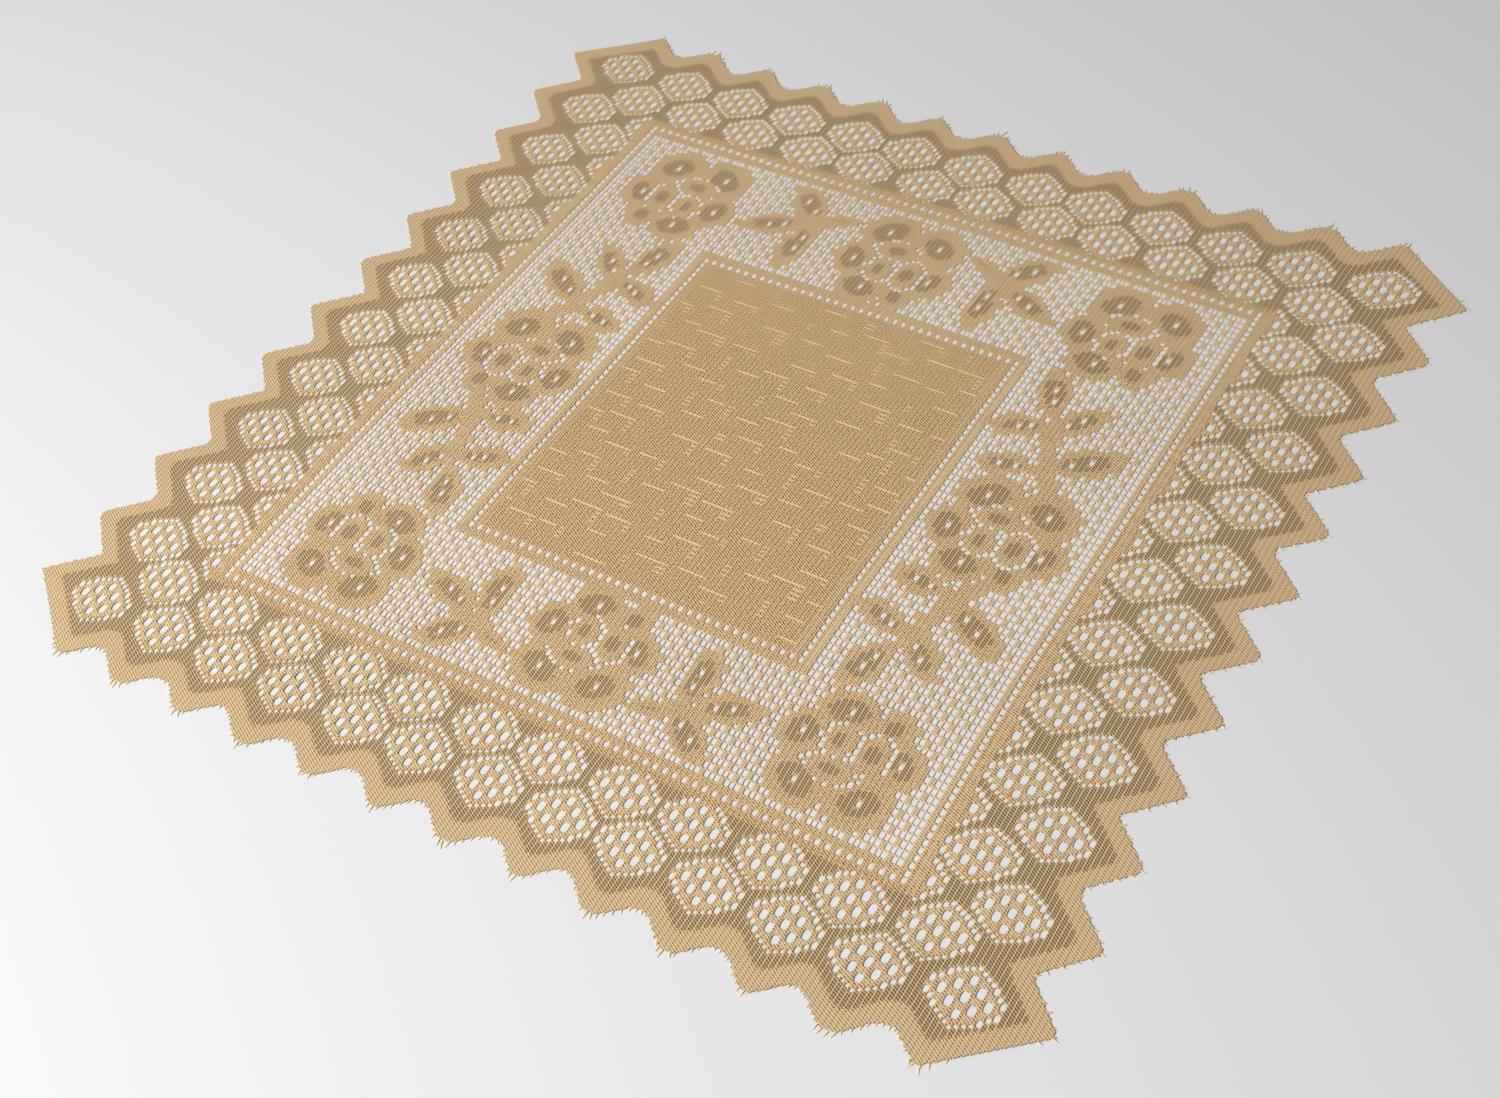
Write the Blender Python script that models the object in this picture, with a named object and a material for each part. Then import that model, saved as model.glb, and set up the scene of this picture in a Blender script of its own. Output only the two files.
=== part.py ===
"""Lace table topper: one square of machine-knitted lace, lying flat on a table.

Metres, +Z up. The origin is the middle of the cloth's underside. The wales, which are the knit's columns of
stitches, run along Y, and its courses run along X. The cloth is one piece: its zigzag edge is knitted with it.
The solid has the cloth's outline and the largest openings of its lozenges and roses. The net between them is
finer than the solid shows.
"""
import math

import bmesh
import bpy

# The knit's grid
WALE = 0.00427
COURSE = 0.00705
THICKNESS = 0.0012

# The edge: its points, how far the thread ends at their tips reach, and how deep the notches between them are
POINTS_ACROSS = 13
POINTS_DOWN = 12
WALES_PER_POINT = 14.8
COURSES_PER_POINT = 10
SIDE_REACH = 105 * WALE + 0.0030
END_REACH = 63 * COURSE + 0.0035
SIDE_DEPTH = 7.3 * WALE
END_DEPTH = 2.9 * COURSE

# The slope from a tip to the middle of the notch beside it, on the sides and on the rounder ends
STEP_COLUMNS = ("share of the way along", "share of the depth")
SIDE_SLOPE = ((0.0, 0.0), (0.12, 0.07), (0.55, 0.56), (0.88, 0.94), (1.0, 1.0))
END_SLOPE = ((0.0, 0.0), (0.14, 0.05), (0.45, 0.47), (0.74, 0.88), (1.0, 1.0))

# The lozenges: two rings of whole ones, and the tips of a third ring beside the inner square's frame
OUTER_RING_WALES = (0, 15, 29, 44, 59, 74)
OUTER_RING_WALE = 90
OUTER_RING_COURSE = 55
INNER_RING_WALES = (7, 22, 36, 51, 66, 81)
INNER_RING_COURSE = 49.5
TIP_OPENING_WALE = 76
TIP_OPENING_COURSES = (5, 15, 25, 35, 44.5)
LOZENGE_OPENING_WALES = (-4, 0, 4)
LOZENGE_OPENING = (0.0056, 0.0080)

# The roses: their places round the inner square with the signs that mirror them, and two eyelets in each one's petals
ROSE_COLUMNS = ("wale", "course", "sign across", "sign up")
ROSES = (
    (-53, -35, -1, 1),
    (0, -35, 1, 1),
    (53, -35, 1, 1),
    (-54, 0, -1, -1),
    (54, 0, 1, -1),
    (-53, 35, -1, -1),
    (0, 35, 1, -1),
    (53, 35, 1, -1),
)
ROSE_EYELETS = ((-9, 4 / 3), (9, 5 / 3))
EYELET = (0.0043, 0.0052)

# How unevenly the cloth lies: slow waves, uneven tips, and one corner drawn outwards
SWAY = 0.0012
SWAY_LENGTH = 0.62
TIP_UNEVENNESS = 0.0012
TIP_RHYTHM = 2.4
PULLED_CORNER = (0.011, 0.014)
PULL_FROM = 0.62
PULL_UNTIL = 0.85

# The panel in the middle lies a little drawn in, all at mid height lies further left, and the right border has slid
PANEL_HALF = (0.169, 0.192)
FRAME_HALF = (0.323, 0.329)
PANEL_DRAW = (-0.0075, -0.0055)
WAIST_HALF = (0.36, 0.10)
WAIST_UNTIL = (0.50, 0.33)
WAIST_DRAW = -0.0045
SLID_SIDE = 0.0105
SLID_FROM = 0.30
SLID_UNTIL = 0.37
SLID_PLACE = -0.25
SLID_REACH = 0.40

CLOTH_COLOUR = (0.723, 0.514, 0.275, 1.0)
CLOTH_ROUGHNESS = 0.85


def clear_scene():
    """Remove every object that the file holds."""
    for old in list(bpy.data.objects):
        bpy.data.objects.remove(old, do_unlink=True)


def within(value, low=0.0, high=1.0):
    """Keep a value between two limits."""
    return min(max(value, low), high)


def faded(x, y, half, until):
    """Give 1 inside an oblong of given half sizes, and fade to 0 towards a larger one."""
    share_x = within((until[0] - abs(x)) / (until[0] - half[0]))
    share_y = within((until[1] - abs(y)) / (until[1] - half[1]))
    return share_x * share_y


def panel_draw(x, y):
    """Tell how far the drawn-in panel takes a point with it."""
    rightwards = within(0.5 + 0.5 * x / PANEL_HALF[0])
    drawn = faded(x, y, PANEL_HALF, FRAME_HALF)
    return PANEL_DRAW[0] * drawn * rightwards, PANEL_DRAW[1] * drawn


def side_slide(x, y):
    """Tell how far the right border has slid back at a point."""
    side = within((x - SLID_FROM) / (SLID_UNTIL - SLID_FROM))
    place = within((y - SLID_PLACE) / SLID_REACH, -1.0, 1.0)
    return SLID_SIDE * side * math.cos(place * math.pi / 2.0)


def lie(x, y):
    """Move a point of the even grid to where the cloth really lies."""
    turn = 2.0 * math.pi / SWAY_LENGTH
    pull = within((x + y - PULL_FROM) / (PULL_UNTIL - PULL_FROM)) ** 2
    drawn = panel_draw(x, y)
    waist = WAIST_DRAW * faded(x, y, WAIST_HALF, WAIST_UNTIL)
    lying_x = x + SWAY * math.sin(turn * y + 0.6) + PULLED_CORNER[0] * pull + drawn[0] + waist
    lying_y = y + SWAY * math.sin(turn * x + 1.1) + PULLED_CORNER[1] * pull + drawn[1] + side_slide(x, y)
    return lying_x, lying_y


def zigzag(tips, pitch, reach, depth, slope):
    """Give one edge's points as pairs: how far along the edge, and how far out from the middle."""
    points = []
    for index in range(tips):
        tip = (index - (tips - 1) / 2) * pitch
        tip_out = reach + TIP_UNEVENNESS * math.sin(TIP_RHYTHM * index)
        points.append((tip, tip_out))
        if index == tips - 1:
            break
        down = [(tip + share * pitch / 2, tip_out - sunk * depth) for share, sunk in slope[1:]]
        next_out = reach + TIP_UNEVENNESS * math.sin(TIP_RHYTHM * (index + 1))
        up = [(tip + pitch - share * pitch / 2, next_out - sunk * depth) for share, sunk in slope[-2:0:-1]]
        points += down + up
    return points


def outline():
    """Go once round the cloth, anticlockwise, from its near left corner."""
    end = zigzag(POINTS_ACROSS, WALES_PER_POINT * WALE, END_REACH, END_DEPTH, END_SLOPE)
    side = zigzag(POINTS_DOWN, COURSES_PER_POINT * COURSE, SIDE_REACH, SIDE_DEPTH, SIDE_SLOPE)
    near = [(along, -out) for along, out in end]
    right = [(out, along) for along, out in side]
    far = [(-along, out) for along, out in end]
    left = [(-out, -along) for along, out in side]
    return near + right + far + left


def lozenge_centres():
    """List the middle of each whole lozenge, in wales and courses."""
    columns = sorted({sign * wale for wale in OUTER_RING_WALES for sign in (-1, 1)})
    rows = [COURSES_PER_POINT * (index + 0.5) for index in range(-6, 6)]
    centres = [(wale, course) for course in (-OUTER_RING_COURSE, OUTER_RING_COURSE) for wale in columns]
    centres += [(wale, course) for wale in (-OUTER_RING_WALE, OUTER_RING_WALE) for course in rows]
    for wale in INNER_RING_WALES:
        centres += [(sign * wale, end * INNER_RING_COURSE) for sign in (-1, 1) for end in (-1, 1)]
    inner_side = INNER_RING_WALES[-1]
    inner_rows = [COURSES_PER_POINT * index for index in range(-4, 5)]
    centres += [(wale, course) for wale in (-inner_side, inner_side) for course in inner_rows]
    return centres


def openings():
    """List each opening's middle, in wales and courses, and its width and height."""
    found = []
    for wale, course in lozenge_centres():
        found += [(wale + step, course, LOZENGE_OPENING) for step in LOZENGE_OPENING_WALES]
    for course in TIP_OPENING_COURSES:
        for sign in (-1, 1):
            found += [(sign * TIP_OPENING_WALE, end * course, LOZENGE_OPENING) for end in (-1, 1)]
    for wale, course, across, up in ROSES:
        found += [(wale + across * step, course + up * rise, EYELET) for step, rise in ROSE_EYELETS]
    return found


def opening_outline(wale, course, size):
    """Give the six corners of one opening, which is taller than wide."""
    x = wale * WALE
    y = course * COURSE
    half_width = size[0] / 2
    half_height = size[1] / 2
    shoulder = half_height / 2
    return [
        (x - half_width, y - shoulder),
        (x, y - half_height),
        (x + half_width, y - shoulder),
        (x + half_width, y + shoulder),
        (x, y + half_height),
        (x - half_width, y + shoulder),
    ]


def add_loop(bm, points):
    """Add a closed ring of edges at the cloth's underside, and return them."""
    verts = [bm.verts.new((*lie(x, y), 0.0)) for x, y in points]
    return [bm.edges.new((vert, verts[index - 1])) for index, vert in enumerate(verts)]


def lace_mesh():
    """Fill the outline, all but its openings, with flat faces that look up."""
    bm = bmesh.new()
    edges = add_loop(bm, outline())
    for wale, course, size in openings():
        edges += add_loop(bm, opening_outline(wale, course, size))
    bmesh.ops.triangle_fill(bm, use_beauty=True, edges=edges, normal=(0.0, 0.0, 1.0))
    bmesh.ops.recalc_face_normals(bm, faces=bm.faces)
    if sum(face.normal.z for face in bm.faces) < 0.0:
        bmesh.ops.reverse_faces(bm, faces=bm.faces)
    mesh = bpy.data.meshes.new("topper")
    bm.to_mesh(mesh)
    bm.free()
    return mesh


def cloth_material():
    """Make the plain material of the beige yarn."""
    material = bpy.data.materials.new("lace")
    material.use_nodes = True
    shader = material.node_tree.nodes["Principled BSDF"]
    shader.inputs["Base Color"].default_value = CLOTH_COLOUR
    shader.inputs["Roughness"].default_value = CLOTH_ROUGHNESS
    shader.inputs["Metallic"].default_value = 0.0
    return material


def build_topper():
    """Make the cloth as one sheet, thickened upwards from its underside."""
    topper = bpy.data.objects.new("topper", lace_mesh())
    topper.data.materials.append(cloth_material())
    bpy.context.scene.collection.objects.link(topper)
    thicken = topper.modifiers.new("thickness", "SOLIDIFY")
    thicken.thickness = THICKNESS
    thicken.offset = 1.0
    return topper


clear_scene()
build_topper()
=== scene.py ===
"""Lace table topper: the looks of the machine-knitted cloth, in the frame that its CAD uses.

Metres, +Z up, with the origin in the middle of the cloth's underside. The knit is a chart of cells: one
for each wale across, and six steps for each course up. Each open cell becomes a hole between two threads.
The chart is drawn by rule, zone by zone: the zigzag border with its lozenges, the outer frame, the filled
net with its roses and leaf sprays, the inner frame and the plain panel.
"""
import math

import bpy
import mathutils
import numpy as np
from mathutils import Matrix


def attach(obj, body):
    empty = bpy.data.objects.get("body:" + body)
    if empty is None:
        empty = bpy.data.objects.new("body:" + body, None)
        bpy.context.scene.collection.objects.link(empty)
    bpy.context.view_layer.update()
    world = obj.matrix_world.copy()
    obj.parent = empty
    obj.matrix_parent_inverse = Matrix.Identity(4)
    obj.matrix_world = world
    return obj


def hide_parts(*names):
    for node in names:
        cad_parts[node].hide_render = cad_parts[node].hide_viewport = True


# The knit's grid, as in the CAD
WALE = 0.00427
COURSE = 0.00705
STEPS = 6
STEP = COURSE / STEPS
LAST_WALE = 106
LAST_STEP = 378

# The zigzag edge, as in the CAD
POINTS_ACROSS = 13
POINTS_DOWN = 12
WALES_PER_POINT = 14.8
COURSES_PER_POINT = 10
SIDE_REACH = 105 * WALE + 0.0030
END_REACH = 63 * COURSE + 0.0035
SIDE_DEPTH = 7.3 * WALE
END_DEPTH = 2.9 * COURSE
SIDE_SLOPE = ((0.0, 0.0), (0.12, 0.07), (0.55, 0.56), (0.88, 0.94), (1.0, 1.0))
END_SLOPE = ((0.0, 0.0), (0.14, 0.05), (0.45, 0.47), (0.74, 0.88), (1.0, 1.0))
TIP_UNEVENNESS = 0.0012
TIP_RHYTHM = 2.4

# The knit stops a little inside that edge and has a close hem along it, and the fine ground has its own limit
EDGE_INSET = 0.0022
END_HEM = 0.0205
SIDE_HEM = 0.0195
FINE_LIMIT = (100, 363)

# How unevenly the cloth lies, as in the CAD
SWAY = 0.0012
SWAY_LENGTH = 0.62
SWAY_STARTS = (0.6, 1.1)
PULLED_CORNER = (0.011, 0.014)
PULL_FROM = 0.62
PULL_UNTIL = 0.85
PANEL_HALF = (0.169, 0.192)
FRAME_HALF = (0.323, 0.329)
PANEL_DRAW = (-0.0075, -0.0055)
WAIST_HALF = (0.36, 0.10)
WAIST_UNTIL = (0.50, 0.33)
WAIST_DRAW = -0.0045
SLID_SIDE = 0.0105
SLID_FROM = 0.30
SLID_UNTIL = 0.37
SLID_PLACE = -0.25
SLID_REACH = 0.40

# The two frames and the filled net: half sizes in cells and steps
FRAME_CELLS = 74
FRAME_STEPS = 280
FRAME_HOLE_CELL = 72
FRAME_HOLE_STEPS = (270, 274)
NET_CELLS = 70
NET_STEPS = 263
INNER_CELLS = 39
INNER_STEPS = 163
INNER_HOLE_CELL = 37
INNER_HOLE_STEPS = (151, 155)
HOLE_FROM = 1
HOLE_UNTIL = 5
NET_REPEAT = 4

# The kinds of cell in the chart
CLOTH, NET, NET_MIDDLE, FRAME, LOZENGE, RIM_BIG, RIM_SMALL, FINE, EYELET = range(9)
UNTOUCHED = -1
SIZE_COLUMNS = ("half width", "how far its ends are pushed apart", "width of its ends as a share")
HOLE_SIZES = {
    NET: (0.00194, 0.0005, 0.82),
    NET_MIDDLE: (0.00166, 0.0005, 0.82),
    FRAME: (0.0019, 0.0002, 0.74),
    LOZENGE: (0.0030, 0.0007, 0.60),
    RIM_BIG: (0.0020, 0.0005, 0.70),
    RIM_SMALL: (0.0018, 0.0007, 0.80),
    EYELET: (0.0020, 0.0003, 0.74),
}
SOLID_HALF = WALE / 4
ROUNDNESS = 3.4

# How unevenly the holes are knitted: shares of their width, and metres sideways
HOLE_UNEVENNESS = (0.92, 1.04)
HOLE_DRIFT = 0.00012

# A lozenge: how far its cloth reaches up and down, and its holes, for each cell out from its middle
LOZENGE_HALF = 6
LOZENGE_REACH = (22, 20, 18, 16, 14, 10, 7)
LOZENGE_HOLES = {
    0: ((-3, 3, LOZENGE), (9, 14, LOZENGE), (19, 21, RIM_SMALL)),
    1: ((17, 19, RIM_SMALL),),
    2: ((3, 9, LOZENGE), (15, 17, RIM_SMALL)),
    3: ((13, 15, RIM_SMALL),),
    4: ((-3, 3, LOZENGE), (9, 13, RIM_BIG)),
    5: ((6, 8, RIM_SMALL),),
    6: ((2, 6, RIM_BIG),),
}
THIN_RIM_CELLS = 3
OUTER_RING_CELLS = (0, 15, 29, 44, 59, 74, 90)
OUTER_RING = (90, 330)
OUTER_RING_ROWS = range(-5, 5)
INNER_RING_CELLS = (7, 22, 36, 51, 66, 81)
INNER_RING_STEP = 297
INNER_RING_ROWS = range(-4, 5)
HIDDEN_RING_CELL = 72
HIDDEN_RING_STEPS = (30, 90, 150, 210, 267)

# The roses: middle in cells and courses, and signs that mirror them; petals in degrees and metres
ROSE_COLUMNS = ("cell", "course", "sign across", "sign up")
ROSES = (
    (-53, -35, -1, 1),
    (0, -35, 1, 1),
    (53, -35, 1, 1),
    (-54, 0, -1, -1),
    (54, 0, 1, -1),
    (-53, 35, -1, -1),
    (0, 35, 1, -1),
    (53, 35, 1, -1),
)
PETAL_COLUMNS = ("turn", "how far out", "half length", "half width", "half core length", "half core width")
PETALS = (
    (310, 0.040, 0.023, 0.027, 0.012, 0.016),
    (234, 0.041, 0.023, 0.027, 0.013, 0.017),
    (166, 0.040, 0.017, 0.022, 0.011, 0.015),
    (110, 0.043, 0.020, 0.023, 0.012, 0.016),
    (62, 0.045, 0.018, 0.014, 0.009, 0.007),
    (17, 0.042, 0.017, 0.021, 0.008, 0.014),
)
NARROW_PETAL = 0.015
ROSE_MIDDLE = 0.038
BUD_COLUMNS = ("across", "up", "half width", "half height")
BUDS = (
    (-0.0065, -0.0135, 0.0195, 0.0120),
    (-0.0100, 0.0135, 0.0115, 0.0155),
    (0.0170, 0.0115, 0.0125, 0.0185),
)
BUD_CORE = 0.5
CHAIN_HOLE = 4
CHAIN_BAR = 2

# The leaf sprays of one quarter: each leaf's base and tip in cells and courses, and its width in metres
LEAF_COLUMNS = ("base cell", "base course", "tip cell", "tip course", "width")
LEAVES = (
    (22.0, 37.3, 22.6, 28.0, 0.027),
    (24.0, 36.8, 37.0, 33.4, 0.027),
    (21.0, 37.4, 31.0, 43.2, 0.029),
    (22.0, 38.0, 12.5, 40.0, 0.015),
    (52.0, 10.6, 41.5, 9.3, 0.024),
    (50.5, 17.6, 39.8, 15.0, 0.025),
    (49.5, 19.0, 45.0, 26.8, 0.029),
    (54.0, 11.2, 67.0, 16.4, 0.029),
    (51.0, 16.6, 58.8, 22.6, 0.025),
)
STEMS = (
    ((57.5, 7.6), (54.4, 10.8), (52.2, 14.6), (50.6, 18.6)),
    ((52.5, 10.4), (55.4, 10.8)),
    ((20.5, 37.6), (26.0, 37.4)),
)
STEM_HALF = 0.0068
LEAF_RIM = 0.0056
LEAF_CORE = (0.18, 0.76)
LEAF_EYELETS = (0.32, 0.56)
LEAF_FULLNESS = 0.7
NARROW_LEAF = 0.020

# The plain panel's slubs: thicker bars and puffed wales, in crosses
CROSS_CELLS = 7.5
CROSS_STEPS = 21
BAR_HALF_CELLS = 2.5
BAR_UNEVENNESS = 0.5
PUFF_HALF_CELLS = 0.6
PUFF_HALF_STEPS = 9.0
PUFF_PERIOD = 4
PUFF_SHIFT = 6.0
PUFF_ASIDE = 3.2
SLUB_DRIFT = (1.4, 5.0)
BAR_RISE = 0.0002
PUFF_SHARE = 0.9
SLUB_AREA = (INNER_HOLE_CELL - 3, INNER_HOLE_STEPS[0] - 6)

# How the slubs vary from cross to cross: radians of a sine for each cross across and each row up
DRIFT_UP_RHYTHM = (2.3, 1.0)
DRIFT_ACROSS_RHYTHM = (4.1, 2.0)
BAR_LENGTH_RHYTHM = (5.3, 1.7)
BAR_KEPT_RHYTHM = (7.7, 3.1)
BAR_KEPT_ABOVE = -0.8

# Heights above the table
CLOTH_TOP = 0.00094
STITCH_DEPTH = 0.00006
FINE_DROP = 0.00012
THREAD_EDGE = 0.00030
THREAD_TOP = 0.00060
WALL_HEIGHT = 0.00030

# The low, slow waves of the lying cloth
WAVE_RISE = 0.0005
WAVE_COLUMNS = ("radians for each metre across", "radians for each metre up", "start", "share")
WAVES = ((17.0, 6.0, 0.0, 1.0), (-9.0, 21.0, 1.3, 1.0), (38.0, -24.0, 0.0, 0.6))

# The single threads are pale; the hem, the motifs and the fine ground are a little paler than close knit
PALE_REACH = 2
PALE_GAIN = 2.0
FINE_PALENESS = 0.5
HEM_PALENESS = 0.55
MOTIF_PALENESS = 0.35
HEM_FADE = 0.003

# The knit attribute's third part marks even stitches: 1 on single threads, and up to this in the hem
HEM_MARK = 2.0

SEED = 11

# The thread ends along the edge: how they stand on the ends and on the sides
START_INSIDE = 0.0012
THREAD_BEND = 0.35
END_MARGIN = 3
END_JITTER = 0.0008
END_LENGTH = 0.0012
END_LENGTH_MORE = 0.0014
END_LEAN = 0.35
BUNCH_WALES = 2.6
BUNCH_LENGTH = (0.001, 0.004)
SIDE_JITTER = 0.0005
SIDE_LENGTH = 0.0016
SIDE_LENGTH_MORE = 0.0012
SIDE_LEAN = 0.3
THREAD_END_TONE = (1.0, 1.6, 0.0)
SIDE_THREAD_WIDTH = 1.1
RING_COLUMNS = ("share of the length", "half width", "height")
THREAD_RINGS = ((0.0, 0.0010, 0.00060), (0.5, 0.00065, 0.00055), (1.0, 0.00025, 0.00045))
RING_CORNERS = ((1, 0), (0, 1), (-1, 0), (0, -1))
THREAD_HALF_THICKNESS = 0.0004

# The yarn's colours, and how strongly each layer shows where it is fullest; the fine ground's gaps and the
# stitches' hollows are painted shade
CLOSE_COLOUR = (0.80, 0.574, 0.316, 1.0)
THREAD_COLOUR = (0.76, 0.595, 0.385, 1.0)
PATCH_COLOUR = (0.54, 0.385, 0.21, 1.0)
PATCH_SHARE = 0.25
HEM_DARKNESS = 0.12
SLUB_COLOUR = (0.92, 0.71, 0.44, 1.0)
SLUB_SHARE = 0.5
# Painted shade: the fine ground's uncut gaps are darkened as if the shadowed floor showed through them
FINE_GAP_SHADE_COLOUR = (0.03, 0.015, 0.004, 1.0)
FINE_GAP_SHADE_SHARE = 1.08
# Painted shade: the stitches' hollows are darkened where shade falls between the stitches, unevenly mottled
HOLLOW_SHADE_COLOUR = (0.10, 0.045, 0.008, 1.0)
HOLLOW_SHADE_SHARE = 1.15

# The close knit: slanting hollows in one groove to a wale, painted in as shade, calmer on pale threads and on
# the fine ground
STITCHES_PER_COURSE = 3.0
GROOVE_SHARE = 0.46
GROOVE_SHARPNESS = 4.0
PALE_CALM = 0.45
FINE_CALM = 0.6

# The fine ground: thick threads, thin ones between them, and slanting rows that cross both; the gaps between
# them are painted shade
FINE_THREAD_SHARPNESS = 8.0
THIN_THREAD_SHARE = 0.4
FINE_CROSSING = 0.44
FINE_ROW_SHARPNESS = 2.0

# The noises: slow patches, the close knit's mottle, which even threads have less of, and the yarn's fuzz
NOISE_MIDDLE = 0.5
PATCH_SCALE = 9.0
PATCH_DETAIL = 3.0
MOTTLE_SCALE = 900.0
MOTTLE_DETAIL = 2.0
MOTTLE_SHARE = 2.0
MOTTLE_CALM = 0.85
FUZZ_SCALE = 900.0
FUZZ_DETAIL = 2.0
FUZZ_SHARE = 0.4

# The yarn's surface
STITCH_RELIEF = 0.0004
YARN_ROUGHNESS = 0.85
YARN_SHINE = 0.1
YARN_SHEEN = 0.03

# The stage, the lamps and the camera
FLOOR_SIZE = 60.0
FLOOR_COLOUR = (0.68, 0.69, 0.71, 1.0)
FLOOR_ROUGHNESS = 0.9
FLOOR_SHINE = 0.2
LAMP_COLUMNS = ("name", "place", "size", "power", "colour")
LAMPS = (("key", (-1.2, -2.4, 2.8), 1.0, 160.0, (1.0, 0.98, 0.95)),)
FILL_COLOUR = (1.0, 1.0, 1.0, 1.0)
FILL_STRENGTH = 0.30
CAMERA_PLACE = (0.708, -0.993, 1.2315)
CAMERA_TURN = (41.59, 4.76, 31.04)
CAMERA_LENS = 50.2
CAMERA_SENSOR = 36.0
CAMERA_CLIP = (0.05, 50.0)


def within(values, low=0.0, high=1.0):
    """Keep values between two limits."""
    return np.clip(values, low, high)


def faded(x, y, half, until):
    """Give 1 inside an oblong of given half sizes, and fade to 0 towards a larger one."""
    share_x = within((until[0] - np.abs(x)) / (until[0] - half[0]))
    share_y = within((until[1] - np.abs(y)) / (until[1] - half[1]))
    return share_x * share_y


def panel_draw(x, y):
    """Tell how far the drawn-in panel takes points with it."""
    rightwards = within(0.5 + 0.5 * x / PANEL_HALF[0])
    drawn = faded(x, y, PANEL_HALF, FRAME_HALF)
    return PANEL_DRAW[0] * drawn * rightwards, PANEL_DRAW[1] * drawn


def side_slide(x, y):
    """Tell how far the right border has slid back at points."""
    side = within((x - SLID_FROM) / (SLID_UNTIL - SLID_FROM))
    place = within((y - SLID_PLACE) / SLID_REACH, -1.0, 1.0)
    return SLID_SIDE * side * np.cos(place * math.pi / 2.0)


def lie(x, y):
    """Move points of the even grid to where the cloth really lies."""
    turn = 2.0 * math.pi / SWAY_LENGTH
    pull = within((x + y - PULL_FROM) / (PULL_UNTIL - PULL_FROM)) ** 2
    drawn = panel_draw(x, y)
    waist = WAIST_DRAW * faded(x, y, WAIST_HALF, WAIST_UNTIL)
    lying_x = x + SWAY * np.sin(turn * y + SWAY_STARTS[0]) + PULLED_CORNER[0] * pull + drawn[0] + waist
    lying_y = y + SWAY * np.sin(turn * x + SWAY_STARTS[1]) + PULLED_CORNER[1] * pull + drawn[1]
    return lying_x, lying_y + side_slide(x, y)


def zigzag(tips, pitch, reach, depth, slope):
    """Give one edge's points as pairs: how far along the edge, and how far out from the middle."""
    points = []
    for index in range(tips):
        tip = (index - (tips - 1) / 2) * pitch
        tip_out = reach + TIP_UNEVENNESS * math.sin(TIP_RHYTHM * index)
        points.append((tip, tip_out))
        if index == tips - 1:
            break
        points += [(tip + share * pitch / 2, tip_out - sunk * depth) for share, sunk in slope[1:]]
        tip += pitch
        tip_out = reach + TIP_UNEVENNESS * math.sin(TIP_RHYTHM * (index + 1))
        points += [(tip - share * pitch / 2, tip_out - sunk * depth) for share, sunk in slope[-2:0:-1]]
    return points


def end_edge():
    """Give the near end's zigzag with the straight cuts to the sides' first tips."""
    points = zigzag(POINTS_ACROSS, WALES_PER_POINT * WALE, END_REACH, END_DEPTH, END_SLOPE)
    cut = (POINTS_DOWN - 1) / 2 * COURSES_PER_POINT * COURSE
    return np.array([(-SIDE_REACH, cut), *points, (SIDE_REACH, cut)])


def side_edge():
    """Give the right side's zigzag with the straight cuts to the ends' first tips."""
    points = zigzag(POINTS_DOWN, COURSES_PER_POINT * COURSE, SIDE_REACH, SIDE_DEPTH, SIDE_SLOPE)
    cut = (POINTS_ACROSS - 1) / 2 * WALES_PER_POINT * WALE
    return np.array([(-END_REACH, cut), *points, (END_REACH, cut)])


def edge_margins(x, y):
    """Tell how far points lie inside the two ends, and inside the two sides."""
    end = end_edge()
    side = side_edge()
    near = np.interp(x, end[:, 0], end[:, 1]) + y
    far = np.interp(-x, end[:, 0], end[:, 1]) - y
    right = np.interp(y, side[:, 0], side[:, 1]) - x
    left = np.interp(-y, side[:, 0], side[:, 1]) + x
    return np.minimum(near, far), np.minimum(left, right)


# The chart's grid: cells and steps counted from the middle, where each place is, and how far out it lies
CELL = np.arange(-LAST_WALE, LAST_WALE + 1)[:, None]
STEP_NUMBER = np.arange(-LAST_STEP, LAST_STEP)[None, :]
CELL_X = CELL * WALE + 0.0 * STEP_NUMBER
CELL_Y = 0.0 * CELL + (STEP_NUMBER + 0.5) * STEP
ACROSS = np.abs(CELL)
UP = np.abs(STEP_NUMBER + 0.5)

# Three lines to a cell: the left and right edge of its hole, and one halfway to the next cell
LINES = 3
LEFT_LINES = slice(1, None, LINES)
RIGHT_LINES = slice(2, None, LINES)
BETWEEN_LINES = slice(LINES, -1, LINES)


def in_hole_row():
    """Tell which steps lie in the open part of a net course."""
    place = np.mod(STEP_NUMBER, STEPS)
    return (place >= HOLE_FROM) & (place < HOLE_UNTIL)


def lozenge_stamp():
    """Chart one lozenge: its cloth and its holes, in cells across and steps up."""
    middle = LOZENGE_REACH[0]
    stamp = np.full((2 * LOZENGE_HALF + 1, 2 * middle), UNTOUCHED, dtype=np.int8)
    for column in range(-LOZENGE_HALF, LOZENGE_HALF + 1):
        cells = stamp[column + LOZENGE_HALF]
        reach = LOZENGE_REACH[abs(column)]
        cells[middle - reach : middle + reach] = CLOTH
        for start, end, kind in LOZENGE_HOLES.get(abs(column), ()):
            cells[middle + start : middle + end] = kind
            thin = kind == RIM_SMALL and abs(column) <= THIN_RIM_CELLS
            lower_end = middle - end + 1 if thin else middle - start
            cells[middle - end : lower_end] = kind
    return stamp


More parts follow.
